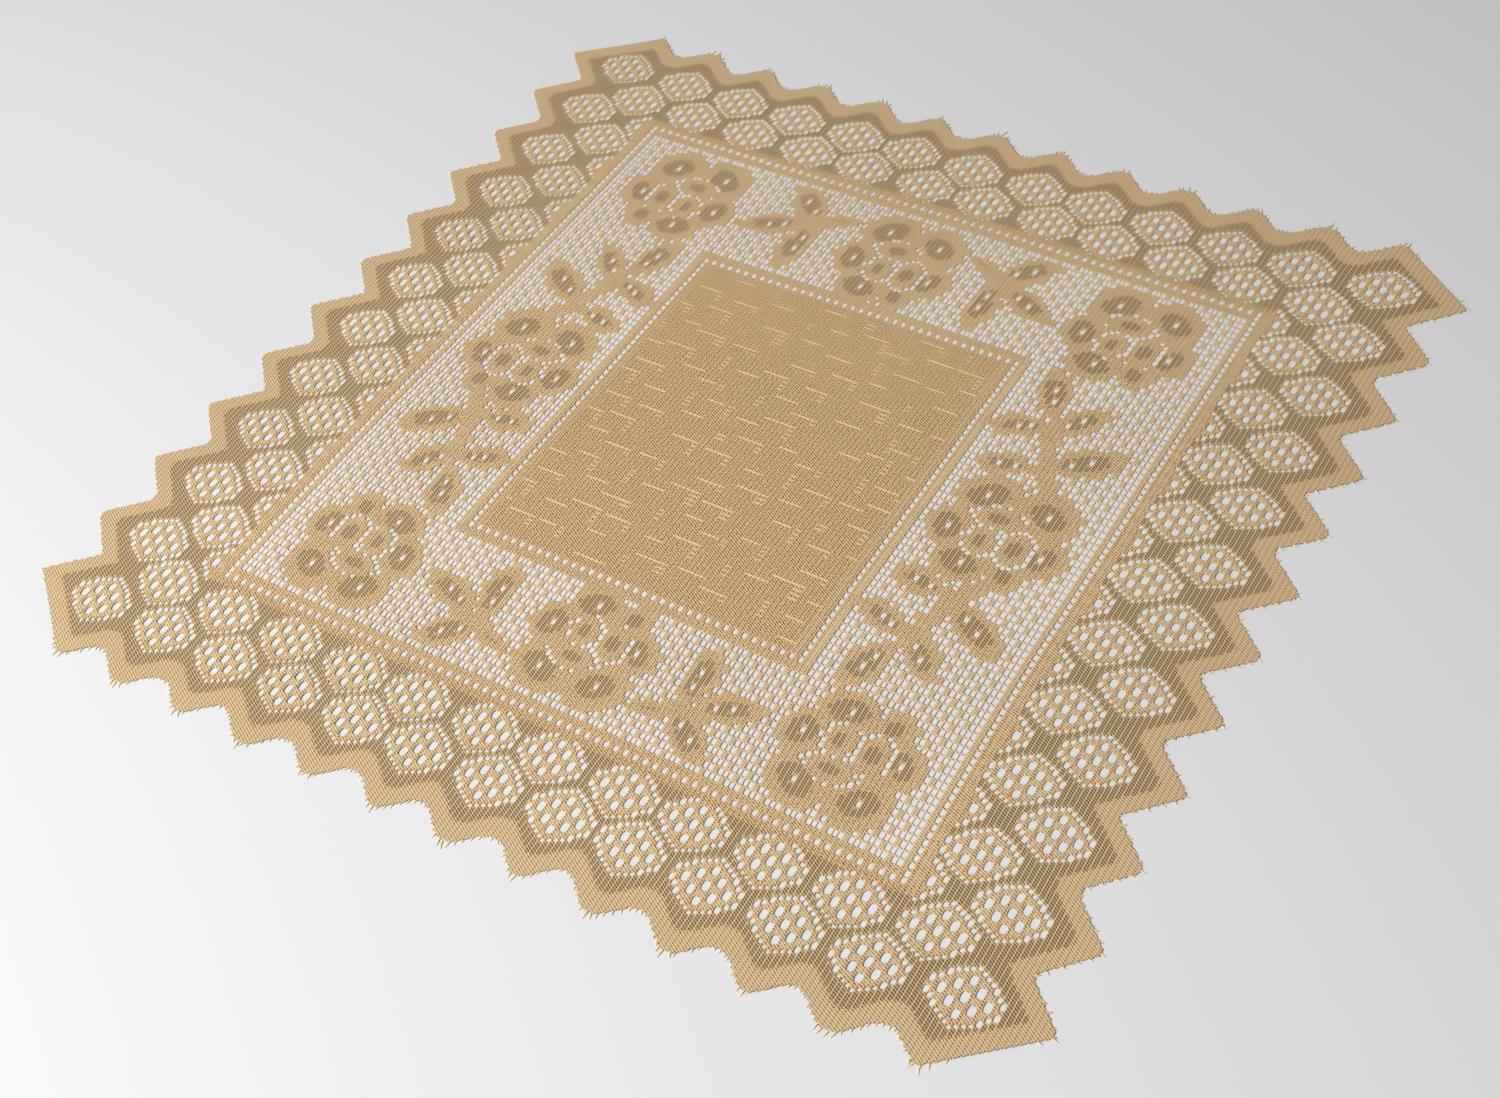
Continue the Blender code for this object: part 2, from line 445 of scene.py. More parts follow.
def lozenge_centres():
    """List the middle of each lozenge, in cells and steps."""
    pitch = COURSES_PER_POINT * STEPS
    columns = sorted({side * cell for cell in OUTER_RING_CELLS for side in (-1, 1)})
    rows = [pitch * index + pitch // 2 for index in OUTER_RING_ROWS]
    centres = [(cell, end * OUTER_RING[1]) for cell in columns for end in (-1, 1)]
    centres += [(side * OUTER_RING[0], step) for step in rows for side in (-1, 1)]
    for cell in INNER_RING_CELLS:
        centres += [(side * cell, end * INNER_RING_STEP) for side in (-1, 1) for end in (-1, 1)]
    inner_side = INNER_RING_CELLS[-1]
    centres += [(side * inner_side, pitch * index) for index in INNER_RING_ROWS for side in (-1, 1)]
    return centres


def hidden_centres():
    """List the middle of each lozenge that shows only its tip beside the frame, in cells and steps."""
    corners = ((-1, -1), (-1, 1), (1, -1), (1, 1))
    return [(side * HIDDEN_RING_CELL, end * step) for step in HIDDEN_RING_STEPS for side, end in corners]


def stamp_lozenges(chart, centres):
    """Put lozenges on the border's fine ground."""
    stamp = lozenge_stamp()
    middle = LOZENGE_REACH[0]
    for cell, step in centres:
        first_cell = cell + LAST_WALE - LOZENGE_HALF
        first_step = step + LAST_STEP - middle
        window = chart[first_cell:, first_step:][: stamp.shape[0], : stamp.shape[1]]
        drawn = stamp[: window.shape[0], : window.shape[1]]
        window[drawn != UNTOUCHED] = drawn[drawn != UNTOUCHED]


def chart_border(chart):
    """Draw the fine ground, the lozenges and the close hem that follows the zigzag edge."""
    chart[:] = FINE
    stamp_lozenges(chart, hidden_centres())
    chart[(ACROSS <= FRAME_CELLS) & (UP > FRAME_STEPS)] = FINE
    stamp_lozenges(chart, lozenge_centres())
    end_margin, side_margin = edge_margins(CELL_X, CELL_Y)
    chart[(end_margin < END_HEM) | (side_margin < SIDE_HEM)] = CLOTH
    chart[(ACROSS > FINE_LIMIT[0]) | (UP > FINE_LIMIT[1])] = CLOTH


def chart_outer_frame(chart):
    """Draw the close frame with its one row of holes."""
    chart[(ACROSS <= FRAME_CELLS) & (UP < FRAME_STEPS)] = CLOTH
    row = (UP > FRAME_HOLE_STEPS[0]) & (UP < FRAME_HOLE_STEPS[1])
    chart[row & (ACROSS <= FRAME_HOLE_CELL) & (np.mod(CELL, 2) == 0)] = FRAME
    chart[(ACROSS == FRAME_HOLE_CELL) & (UP < FRAME_HOLE_STEPS[0]) & in_hole_row()] = FRAME


def chart_net(chart):
    """Draw the filled net: three holes and one closed place in turn, shifted on every other course."""
    area = (ACROSS <= NET_CELLS) & (UP < NET_STEPS)
    chart[area] = CLOTH
    course = np.floor_divide(STEP_NUMBER, STEPS)
    place = np.mod(CELL + NET_REPEAT // 2 * np.mod(course, 2), NET_REPEAT)
    open_here = area & in_hole_row()
    chart[open_here & (place != 0)] = NET
    chart[open_here & (place == NET_REPEAT // 2)] = NET_MIDDLE
    beside_frame = (ACROSS == NET_CELLS) | ((ACROSS == INNER_CELLS + 1) & (UP < INNER_STEPS))
    chart[open_here & beside_frame] = NET


def chart_inner_frame(chart):
    """Draw the inner frame, whose row of holes goes round the plain panel."""
    chart[(ACROSS <= INNER_CELLS) & (UP < INNER_STEPS)] = CLOTH
    row = (UP > INNER_HOLE_STEPS[0]) & (UP < INNER_HOLE_STEPS[1])
    chart[row & (ACROSS <= INNER_HOLE_CELL) & (np.mod(CELL, 2) == 1)] = FRAME
    chart[(ACROSS == INNER_HOLE_CELL) & (UP < INNER_HOLE_STEPS[0]) & in_hole_row()] = FRAME


def oval(x, y, place, turn, size):
    """Measure points from an oval's middle, 1 on its line; place is how far out it lies along turn."""
    angle = math.radians(turn)
    out = x * math.cos(angle) + y * math.sin(angle) - place
    across = -x * math.sin(angle) + y * math.cos(angle)
    return np.hypot(out / size[0], across / size[1])


def chain_between(labels):
    """Find the cells whose neighbour has a higher label: a line one cell wide between two shapes."""
    highest = labels.copy()
    for cells, steps in ((1, 0), (-1, 0), (0, 1), (0, -1), (0, 2), (0, -2)):
        highest = np.maximum(highest, np.roll(labels, (cells, steps), (0, 1)))
    return highest > labels


def cut_chain(line):
    """Cut a line into holes with short bars between them, and drop its single steps."""
    pitch = CHAIN_HOLE + CHAIN_BAR
    place = np.mod(STEP_NUMBER + pitch // 2 * np.mod(CELL, 2), pitch)
    holes = line & (place < CHAIN_HOLE)
    return holes & (np.roll(holes, 1, 1) | np.roll(holes, -1, 1))


def open_eyelet(chart, x, y):
    """Open one eyelet between two close places, at a point in metres."""
    cell = round(x / WALE)
    step = round(y / STEP) - CHAIN_HOLE // 2
    after = STEP_NUMBER - step
    near = (CELL == cell) & (after >= -CHAIN_BAR) & (after < CHAIN_HOLE + CHAIN_BAR)
    chart[near & (chart == FINE)] = CLOTH
    chart[near & (after >= 0) & (after < CHAIN_HOLE)] = EYELET


def add_rose(chart, rose):
    """Draw one rose: outer petals with shaded middles, an eyelet in most, round three inner ones."""
    middle_x = rose[0] * WALE
    middle_y = rose[1] * COURSE
    x = rose[2] * (CELL_X - middle_x)
    y = rose[3] * (CELL_Y - middle_y)
    shape = np.hypot(x, y) < ROSE_MIDDLE
    shaded = np.zeros(shape.shape, dtype=bool)
    for turn, place, half_length, half_width, core_length, core_width in PETALS:
        shape |= oval(x, y, place, turn, (half_length, half_width)) < 1.0
        shaded |= oval(x, y, place, turn, (core_length, core_width)) < 1.0
    buds = [np.hypot((x - across) / half_x, (y - up) / half_y) for across, up, half_x, half_y in BUDS]
    nearest = np.min(buds, axis=0)
    labels = np.where(nearest < 1.0, np.argmin(buds, axis=0) + 1, 0)
    chart[shape] = CLOTH
    chart[shape & (shaded & (labels == 0) | (nearest < BUD_CORE))] = FINE
    chart[shape & cut_chain(chain_between(labels))] = RIM_BIG
    for turn, place, _, half_width, _, _ in PETALS:
        if half_width > NARROW_PETAL:
            out_x = place * math.cos(math.radians(turn))
            out_y = place * math.sin(math.radians(turn))
            open_eyelet(chart, middle_x + rose[2] * out_x, middle_y + rose[3] * out_y)


def leaf_line(leaf, sides):
    """Give a leaf's base and its way to the tip in metres, mirrored by the signs in sides."""
    scale = np.array((sides[0] * WALE, sides[1] * COURSE))
    base = scale * leaf[:2]
    return base, scale * leaf[2:4] - base


def add_leaf(chart, leaf, sides):
    """Draw one leaf with a shaded middle."""
    base, way = leaf_line(leaf, sides)
    length = math.hypot(way[0], way[1])
    along = ((CELL_X - base[0]) * way[0] + (CELL_Y - base[1]) * way[1]) / length**2
    across = np.abs((CELL_X - base[0]) * way[1] - (CELL_Y - base[1]) * way[0]) / length
    half = within(4.0 * along * (1.0 - along)) ** LEAF_FULLNESS * leaf[4] / 2
    chart[across < half] = CLOTH
    core = (across < half - LEAF_RIM) & (along > LEAF_CORE[0]) & (along < LEAF_CORE[1])
    chart[core] = FINE


def add_stem(chart, stem, sides):
    """Draw one stem through its points."""
    for start, end in zip(stem, stem[1:]):
        base, way = leaf_line((*start, *end), sides)
        share = within(((CELL_X - base[0]) * way[0] + (CELL_Y - base[1]) * way[1]) / way.dot(way))
        from_x = CELL_X - base[0] - share * way[0]
        from_y = CELL_Y - base[1] - share * way[1]
        chart[np.hypot(from_x, from_y) < STEM_HALF] = CLOTH


def add_sprays(chart, sides):
    """Draw one quarter's sprays of leaves, with two eyelets in each broad leaf."""
    for leaf in LEAVES:
        add_leaf(chart, leaf, sides)
    for stem in STEMS:
        add_stem(chart, stem, sides)
    for leaf in LEAVES:
        base, way = leaf_line(leaf, sides)
        for share in LEAF_EYELETS if leaf[4] > NARROW_LEAF else ():
            open_eyelet(chart, *(base + share * way))


def drop_slivers(chart):
    """Close the net holes that a motif has cut down to a single step."""
    netted = np.isin(chart, (NET, NET_MIDDLE, RIM_BIG, EYELET))
    alone = netted & ~np.roll(netted, 1, 1) & ~np.roll(netted, -1, 1)
    chart[alone] = CLOTH


def knit_chart():
    """Draw the whole cloth."""
    chart = np.zeros((CELL.size, STEP_NUMBER.size), dtype=np.int8)
    chart_border(chart)
    chart_outer_frame(chart)
    chart_net(chart)
    for sides in ((1, 1), (-1, 1), (1, -1), (-1, -1)):
        add_sprays(chart, sides)
    for rose in ROSES:
        add_rose(chart, rose)
    drop_slivers(chart)
    chart_inner_frame(chart)
    return chart


def hole_runs(chart):
    """List each hole: its column, first and last line, and kind."""
    padded = np.pad(chart, ((0, 0), (1, 1)))
    opened = (chart > CLOTH) & (chart != FINE)
    column, start = np.nonzero(opened & (padded[:, :-2] != chart))
    end = np.nonzero(opened & (padded[:, 2:] != chart))[1] + 1
    return column, start, end, chart[column, start]


def thread_lines(chart, random):
    """Give each cell's half width, its sideways and lengthways shift, and where its holes' edges are."""
    shape = (chart.shape[0], chart.shape[1] + 1)
    half = np.full(shape, SOLID_HALF)
    aside = np.zeros(shape)
    shift = np.zeros(shape)
    edge = np.zeros(shape, dtype=bool)
    column, start, end, kind = hole_runs(chart)
    sizes = np.zeros((EYELET + 1, len(SIZE_COLUMNS)))
    for each, values in HOLE_SIZES.items():
        sizes[each] = values
    width, push, ends_share = sizes[kind].T
    width = width * random.uniform(*HOLE_UNEVENNESS, width.size)
    drift = random.uniform(-HOLE_DRIFT, HOLE_DRIFT, width.size)
    for line in range(int((end - start).max()) + 1):
        chosen = start + line <= end
        at = column[chosen], start[chosen] + line
        place = 2.0 * line / (end - start)[chosen] - 1.0
        curve = (1.0 - np.abs(place) ** ROUNDNESS) ** (1.0 / ROUNDNESS)
        half[at] = width[chosen] * np.maximum(ends_share[chosen], curve)
        aside[at] = drift[chosen]
        edge[at] = True
    shift[column, start] = -push
    shift[column, end] = push
    return half, aside, shift, edge


def softened(values, reach):
    """Average values over their neighbours, a given number of places each way."""
    total = np.zeros(values.shape)
    for cells in range(-reach, reach + 1):
        for steps in range(-reach, reach + 1):
            total += np.roll(values, (cells, steps), (0, 1))
    return total / (2 * reach + 1) ** 2


def uneven(number, row, rhythm):
    """Vary between -1 and 1 from cross to cross, with no plain repeat."""
    return np.sin(number * rhythm[0] + row * rhythm[1])


def cross_grid(line):
    """Find each point's cross: its row and its number, and the way from its middle across and up."""
    row = np.round(line / CROSS_STEPS)
    offset = np.mod(row, 2) * CROSS_CELLS / 2
    from_first = CELL - offset + CROSS_CELLS / 2
    number = np.floor(from_first / CROSS_CELLS)
    across = np.mod(from_first, CROSS_CELLS) - CROSS_CELLS / 2
    across = across + SLUB_DRIFT[0] * uneven(number, row, DRIFT_ACROSS_RHYTHM)
    along = line - np.round(row * CROSS_STEPS + SLUB_DRIFT[1] * uneven(number, row, DRIFT_UP_RHYTHM))
    return row, number, across, along


def panel_slubs():
    """Place the panel's slubs: bars across and puffed wales, in staggered crosses, from 0 to 1."""
    line = np.arange(-LAST_STEP, LAST_STEP + 1)[None, :] + 0.0 * CELL
    row, number, across, along = cross_grid(line)
    inside = (ACROSS <= SLUB_AREA[0]) & (np.abs(line) < SLUB_AREA[1])
    kept = uneven(number, row, BAR_KEPT_RHYTHM) > BAR_KEPT_ABOVE
    bar_half = BAR_HALF_CELLS + BAR_UNEVENNESS * uneven(number, row, BAR_LENGTH_RHYTHM)
    bar = inside & kept & (np.abs(across) <= bar_half) & (along == 0)
    beside = np.abs(across - PUFF_ASIDE) <= PUFF_HALF_CELLS
    puff = inside & beside & (np.abs(along + PUFF_SHIFT) <= PUFF_HALF_STEPS)
    puff = puff & (np.mod(along, PUFF_PERIOD) == 0)
    return np.maximum(1.0 * bar, PUFF_SHARE * puff)


def hem_share(x, y):
    """Give 1 in the solid hem along the zigzag edge, and fade to 0 inside it."""
    end_margin, side_margin = edge_margins(x, y)
    margin = np.minimum(end_margin, side_margin)
    return within((END_HEM - margin) / HEM_FADE)


def lace_share():
    """Give 1 at the lines of the lace band between the two frames, and 0 elsewhere."""
    up = np.abs(np.arange(-LAST_STEP, LAST_STEP + 1))[None, :]
    inner = (ACROSS <= INNER_HOLE_CELL) & (up <= INNER_HOLE_STEPS[1])
    lace = (ACROSS < FRAME_HOLE_CELL) & (up < FRAME_HOLE_STEPS[0]) & ~inner
    return np.pad(np.repeat(lace, LINES, axis=0), ((0, 1), (0, 0)))


def slow_waves(x, y):
    """Give the low, slow waves of a cloth that lies by its own weight."""
    waves = sum(share * np.sin(across * x + up * y + start) for across, up, start, share in WAVES)
    spread = 2.0 * sum(each[-1] for each in WAVES)
    return WAVE_RISE * (0.5 + waves / spread)


def halfway(first, second):
    """Give the values halfway between two others."""
    return (first + second) / 2


def over_lines(left, right, join):
    """Lay out the two lines of each cell, and join the line between two cells from those beside it."""
    values = np.zeros((LINES * CELL.size + 1, left.shape[1]))
    values[LEFT_LINES] = left
    values[RIGHT_LINES] = right
    values[BETWEEN_LINES] = join(right[:-1], left[1:])
    return values


def place_lines(half, aside, shift):
    """Place each point of the lines across and up, on the even grid."""
    middle = CELL * WALE + aside
    x = over_lines(middle - half, middle + half, halfway)
    x[0] = x[1] - SOLID_HALF
    x[-1] = x[-2] + SOLID_HALF
    y = np.repeat((np.arange(-LAST_STEP, LAST_STEP + 1) * STEP)[None, :], x.shape[0], axis=0)
    y[LEFT_LINES] += shift
    y[RIGHT_LINES] += shift
    return x, y


def fine_share(chart):
    """Give 1 at the points that have the fine ground all round them, and 0 elsewhere."""
    fine = np.zeros((chart.shape[0], chart.shape[1] + 1))
    fine[:, :-1] = chart == FINE
    fine[:, 1:-1] = np.minimum(fine[:, 1:-1], fine[:, :-2])
    return over_lines(fine, fine, np.minimum)


def knit_tones(chart, x, y):
    """Tell how pale, how thick and how fine the knit is at each point, and how even its stitches are."""
    pale = np.zeros(x.shape)
    opened = softened((chart > CLOTH) & (chart != FINE), PALE_REACH)
    pale[:-1, :-1] = np.repeat(opened, LINES, axis=0)
    pale = within(PALE_GAIN * pale)
    slub = panel_slubs()
    fine = fine_share(chart)
    hem = hem_share(x, y)
    evenness = np.maximum(pale, HEM_MARK * hem)
    for share in (HEM_PALENESS * hem, FINE_PALENESS * fine, MOTIF_PALENESS * lace_share()):
        pale = np.maximum(pale, share)
    return np.stack([pale, over_lines(slub, slub, halfway), fine], axis=-1), evenness


def knit_heights(slub, fine, edge):
    """Give each point's height: staggered stitches, raised slubs, and single threads that lie lower."""
    lean = STITCH_DEPTH * (np.mod(np.arange(slub.shape[1]), 2) * 2.0 - 1.0)
    z = CLOTH_TOP + BAR_RISE * slub - FINE_DROP * fine
    z[LEFT_LINES] += lean
    z[RIGHT_LINES] -= lean
    z[LEFT_LINES][edge] = THREAD_EDGE
    z[RIGHT_LINES][edge] = THREAD_EDGE
    z[BETWEEN_LINES][edge[:-1] & edge[1:]] = THREAD_TOP
    return z


def knit_points(chart):
    """Place every point of the knit: three lines for each cell across, one line for each step up."""
    half, aside, shift, edge = thread_lines(chart, np.random.default_rng(SEED))
    x, y = place_lines(half, aside, shift)
    tone, evenness = knit_tones(chart, x, y)
    z = knit_heights(tone[..., 1], tone[..., 2], edge) + slow_waves(x, y)
    knit = np.stack([x / WALE, y / COURSE, evenness], axis=-1)
    x, y = lie(x, y)
    return np.stack([x, y, z], axis=-1), knit, tone


def kept_strips(chart):
    """Tell which quads are cloth: not in a hole, and inside the zigzag edge."""
    kept = np.ones((LINES * CELL.size, STEP_NUMBER.size), dtype=bool)
    # A cell's hole is the strip of quads to the right of its left line
    kept[LEFT_LINES] &= (chart == CLOTH) | (chart == FINE)
    strip_x = (np.arange(kept.shape[0])[:, None] - (kept.shape[0] - 1) / 2) * WALE / LINES
    strip_y = (STEP_NUMBER + 0.5) * STEP
    end_margin, side_margin = edge_margins(strip_x + 0.0 * strip_y, strip_y + 0.0 * strip_x)
    return kept & (end_margin > EDGE_INSET) & (side_margin > EDGE_INSET)


def window_around(kept, window):
    """Cut one window out of the knit, with the neighbours that lie just outside it."""
    first_line, last_line, first_step, last_step = window
    return np.pad(kept, 1)[first_line : last_line + 2, first_step : last_step + 2]


def top_quads(own):
    """List the window's quads as four corners each, in lines and steps."""
    line, step = np.nonzero(own)
    corners = ((0, 0), (1, 0), (1, 1), (0, 1))
    return np.stack([np.stack([line + across, step + up], axis=-1) for across, up in corners], axis=1)


def wall_tops(own, around):
    """List the upper edges of the low walls where the cloth ends, as seen from outside."""
    sides = (
        (around[:-2, 1:-1], (0, 0), (0, 1)),
        (around[2:, 1:-1], (1, 1), (1, 0)),
        (around[1:-1, :-2], (1, 0), (0, 0)),
        (around[1:-1, 2:], (0, 1), (1, 1)),
    )
    walls = []
    for neighbour, first, second in sides:
        line, step = np.nonzero(own & ~neighbour)
        ends = [np.stack([line + across, step + up], axis=-1) for across, up in (first, second)]
        walls.append(np.stack(ends, axis=1))
    return np.concatenate(walls)


def make_mesh(name, points, faces, knit, tone, smooth):
    """Make a mesh of quads that carries its place in the knit, and its tones."""
    mesh = bpy.data.meshes.new(name)
    mesh.vertices.add(len(points))
    mesh.vertices.foreach_set("co", points.ravel())
    mesh.loops.add(faces.size)
    mesh.loops.foreach_set("vertex_index", faces.ravel())
    mesh.polygons.add(len(faces))
    mesh.polygons.foreach_set("loop_start", np.arange(0, faces.size, 4))
    mesh.polygons.foreach_set("use_smooth", np.full(len(faces), smooth))
    mesh.attributes.new("knit", "FLOAT_VECTOR", "POINT").data.foreach_set("vector", knit.ravel())
    mesh.attributes.new("tone", "FLOAT_VECTOR", "POINT").data.foreach_set("vector", tone.ravel())
    mesh.update(calc_edges=True)
    return mesh


def add_object(name, mesh, material):
    """Put a mesh into the scene."""
    piece = bpy.data.objects.new(name, mesh)
    mesh.materials.append(material)
    bpy.context.scene.collection.objects.link(piece)
    return piece


def flat_facts(points, tops):
    """Measure a window's flat size and the area of its threads and close cloth."""
    corners = points[tops[..., 0], tops[..., 1], :2]
    first = corners[:, 2] - corners[:, 0]
    second = corners[:, 3] - corners[:, 1]
    area = np.abs(first[:, 0] * second[:, 1] - first[:, 1] * second[:, 0]).sum() / 2
    size = corners.reshape(-1, 2).max(axis=0) - corners.reshape(-1, 2).min(axis=0)
    return (float(size[0]), float(size[1])), float(area)


def wall_feet(points):
    """Let the feet of the low walls down, but not below the table."""
    feet = points - (0.0, 0.0, WALL_HEIGHT)
    feet[:, 2] = np.maximum(feet[:, 2], 0.0)
    return feet


def number_faces(tops, walls, width):
    """List the grid points that a window uses, above and at the walls' feet, and number its faces."""
    top_numbers = tops[..., 0] * width + tops[..., 1]
    wall_numbers = walls[..., 0] * width + walls[..., 1]
    used, top_faces = np.unique(top_numbers, return_inverse=True)
    lower, lower_ends = np.unique(wall_numbers, return_inverse=True)
    lower_ends = lower_ends.reshape(-1, 2) + used.size
    wall_faces = np.concatenate([np.searchsorted(used, wall_numbers), lower_ends[:, ::-1]], axis=1)
    return used, lower, np.concatenate([top_faces.reshape(-1, 4), wall_faces])


def build_window(name, points, knit, tone, kept, window, material):
    """Make one piece of the cloth from the part of the knit inside a window."""
    first_line, last_line, first_step, last_step = window
    chosen = slice(first_line, last_line + 1), slice(first_step, last_step + 1)
    around = window_around(kept, window)
    own = around[1:-1, 1:-1]
    tops = top_quads(own)
    used, lower, faces = number_faces(tops, wall_tops(own, around), last_step - first_step + 1)
    flat_points = points[chosen].reshape(-1, 3)
    all_points = np.concatenate([flat_points[used], wall_feet(flat_points[lower])])
    both = np.concatenate([used, lower])
    looks = [values[chosen].reshape(-1, 3)[both] for values in (knit, tone)]
    piece = add_object(name, make_mesh(name, all_points, faces, *looks, smooth=False), material)
    size, area = flat_facts(points[chosen], tops)
    return piece, size, area


def window_of(cells, steps):
    """Turn a range of cells and steps from the middle into a window of lines."""
    first_line = LINES * (cells[0] + LAST_WALE)
    last_line = LINES * (cells[1] + 1 + LAST_WALE)
    return first_line, last_line, steps[0] + LAST_STEP, steps[1] + LAST_STEP


def cloth_windows():
    """Name the pieces of the cloth, with their cells and their steps."""
    side = FRAME_CELLS + 1
    inner_side = INNER_CELLS + 1
    end = FRAME_STEPS
    inner_end = INNER_STEPS
    return {
        "border_near": ((-LAST_WALE, LAST_WALE), (-LAST_STEP, -end)),
        "border_far": ((-LAST_WALE, LAST_WALE), (end, LAST_STEP)),
        "border_left": ((-LAST_WALE, -side), (-end, end)),
        "border_right": ((side, LAST_WALE), (-end, end)),
        "band_near": ((-FRAME_CELLS, FRAME_CELLS), (-end, -inner_end)),
        "band_far": ((-FRAME_CELLS, FRAME_CELLS), (inner_end, end)),
        "band_left": ((-FRAME_CELLS, -inner_side), (-inner_end, inner_end)),
        "band_right": ((inner_side, FRAME_CELLS), (-inner_end, inner_end)),
        "middle": ((-INNER_CELLS, INNER_CELLS), (-inner_end, inner_end)),
    }


def end_threads(random):
    """Place the thread ends of the near and far edge: start, direction, length and width of each."""
    edge = end_edge()
    reach = (POINTS_ACROSS - 1) // 2 * WALES_PER_POINT
    cell = np.arange(-reach - END_MARGIN, reach + END_MARGIN + 1)
    x = np.concatenate([cell, cell]) * WALE + random.uniform(-END_JITTER, END_JITTER, 2 * cell.size)
    side = np.repeat([-1.0, 1.0], cell.size)
    out = np.interp(-side * x, edge[:, 0], edge[:, 1])
    pitch = WALES_PER_POINT * WALE
    from_tip = np.abs(np.mod(x + pitch / 2, pitch) - pitch / 2)
    bunch = within(1.0 - from_tip / (BUNCH_WALES * WALE))
    length = END_LENGTH + random.uniform(0.0, END_LENGTH_MORE, x.size)
    length += bunch * random.uniform(*BUNCH_LENGTH, x.size)
    start = np.stack([x, side * (out - EDGE_INSET - START_INSIDE)], axis=-1)
    aim = np.stack([random.uniform(-END_LEAN, END_LEAN, x.size), side], axis=-1)
    return start, aim, length + EDGE_INSET, np.ones(x.size)


def side_threads(random):
    """Place the thread ends of the two sides: start, direction, length and width of each."""
    edge = side_edge()
    reach = (POINTS_DOWN - 1) * COURSES_PER_POINT * STEPS // 2
    line = np.arange(-reach - STEPS, reach + STEPS + 1, STEPS)
    y = np.concatenate([line, line]) * STEP + random.uniform(-SIDE_JITTER, SIDE_JITTER, 2 * line.size)
    side = np.repeat([-1.0, 1.0], line.size)
    out = np.interp(side * y, edge[:, 0], edge[:, 1])
    length = SIDE_LENGTH + random.uniform(0.0, SIDE_LENGTH_MORE, y.size)
    start = np.stack([side * (out - EDGE_INSET - START_INSIDE), y], axis=-1)
    aim = np.stack([side, random.uniform(-SIDE_LEAN, SIDE_LEAN, y.size)], axis=-1)
    return start, aim, length + EDGE_INSET, np.full(y.size, SIDE_THREAD_WIDTH)


def thread_points(start, aim, length, width, bend):
    """Place the rings of every thread end, four corners each, from its root to its tip."""
    aside = np.stack([-aim[:, 1], aim[:, 0]], axis=-1)
    points = np.zeros((length.size, len(THREAD_RINGS), len(RING_CORNERS), 3))
    for ring, (share, half_width, height) in enumerate(THREAD_RINGS):
        middle = start + aim * (length * share)[:, None] + aside * (bend * share**2)[:, None]
        lying_x, lying_y = lie(middle[:, 0], middle[:, 1])
        for corner, (sideways, upwards) in enumerate(RING_CORNERS):
            points[:, ring, corner, 0] = lying_x + aside[:, 0] * half_width * width * sideways
            points[:, ring, corner, 1] = lying_y + aside[:, 1] * half_width * width * sideways
            points[:, ring, corner, 2] = height + THREAD_HALF_THICKNESS * upwards
    return points.reshape(-1, 3)


def thread_faces(count):
    """Number the faces of a number of like thread ends: four between two rings, and one at the tip."""
    corners = len(RING_CORNERS)
    base = (np.arange(count) * len(THREAD_RINGS) * corners)[:, None]
    faces = []
    for low in range(0, (len(THREAD_RINGS) - 1) * corners, corners):
        high = low + corners
        for corner in range(corners):
            after = (corner + 1) % corners
            faces.append(base + np.array([low + corner, low + after, high + after, high + corner]))
    tip = (len(THREAD_RINGS) - 1) * corners
    faces.append(base + np.arange(tip, tip + corners))
    return np.concatenate(faces)


def build_thread_ends(material):
    """Make the short thread ends along the whole edge as one mesh of bent, tapered, four-sided tubes."""
    random = np.random.default_rng(SEED + 1)
    both = zip(end_threads(random), side_threads(random))
    start, aim, length, width = [np.concatenate(pair) for pair in both]
    aim /= np.linalg.norm(aim, axis=1)[:, None]
    bend = random.uniform(-THREAD_BEND, THREAD_BEND, length.size) * length
    points = thread_points(start, aim, length, width, bend)
    knit = 0.0 * points
    tone = knit + np.array(THREAD_END_TONE)
    mesh = make_mesh("thread_ends", points, thread_faces(length.size), knit, tone, smooth=True)
    return add_object("thread_ends", mesh, material)


def link_math(tree, operation, first, second=None):
    """Add one sum to a node tree; numbers go into its sockets as they are."""
    node = tree.nodes.new("ShaderNodeMath")
    node.operation = operation
    for socket, value in zip(node.inputs, (first, second)):
        if value is None:
            continue
        if isinstance(value, (int, float)):
            socket.default_value = value
        else:
            tree.links.new(value, socket)
    return node.outputs[0]


def wave(tree, turns):
    """Swing between 0 and 1 once each turn, and be 1 at whole turns."""
    swing = link_math(tree, "COSINE", link_math(tree, "MULTIPLY", turns, 2.0 * math.pi))
    return link_math(tree, "ADD", link_math(tree, "MULTIPLY", swing, 0.5), 0.5)


def less(tree, whole, part, share):
    """Take a share of one value away from another."""
    return link_math(tree, "SUBTRACT", whole, link_math(tree, "MULTIPLY", part, share))


def slanting_rows(tree, wales, courses):
    """Swing between 0 and 1 with each slanting row of stitches."""
    stitches = link_math(tree, "MULTIPLY", courses, STITCHES_PER_COURSE)
    return wave(tree, link_math(tree, "ADD", stitches, wales))


def stitch_hollows(tree, wales, courses):
    """Shape the slanting hollows between stitches, in grooves: one to a wale, three to a course."""
    groove = link_math(tree, "POWER", wave(tree, wales), GROOVE_SHARPNESS)
    depth = link_math(tree, "ADD", link_math(tree, "MULTIPLY", groove, GROOVE_SHARE), 1.0 - GROOVE_SHARE)
    return link_math(tree, "MULTIPLY", depth, slanting_rows(tree, wales, courses))


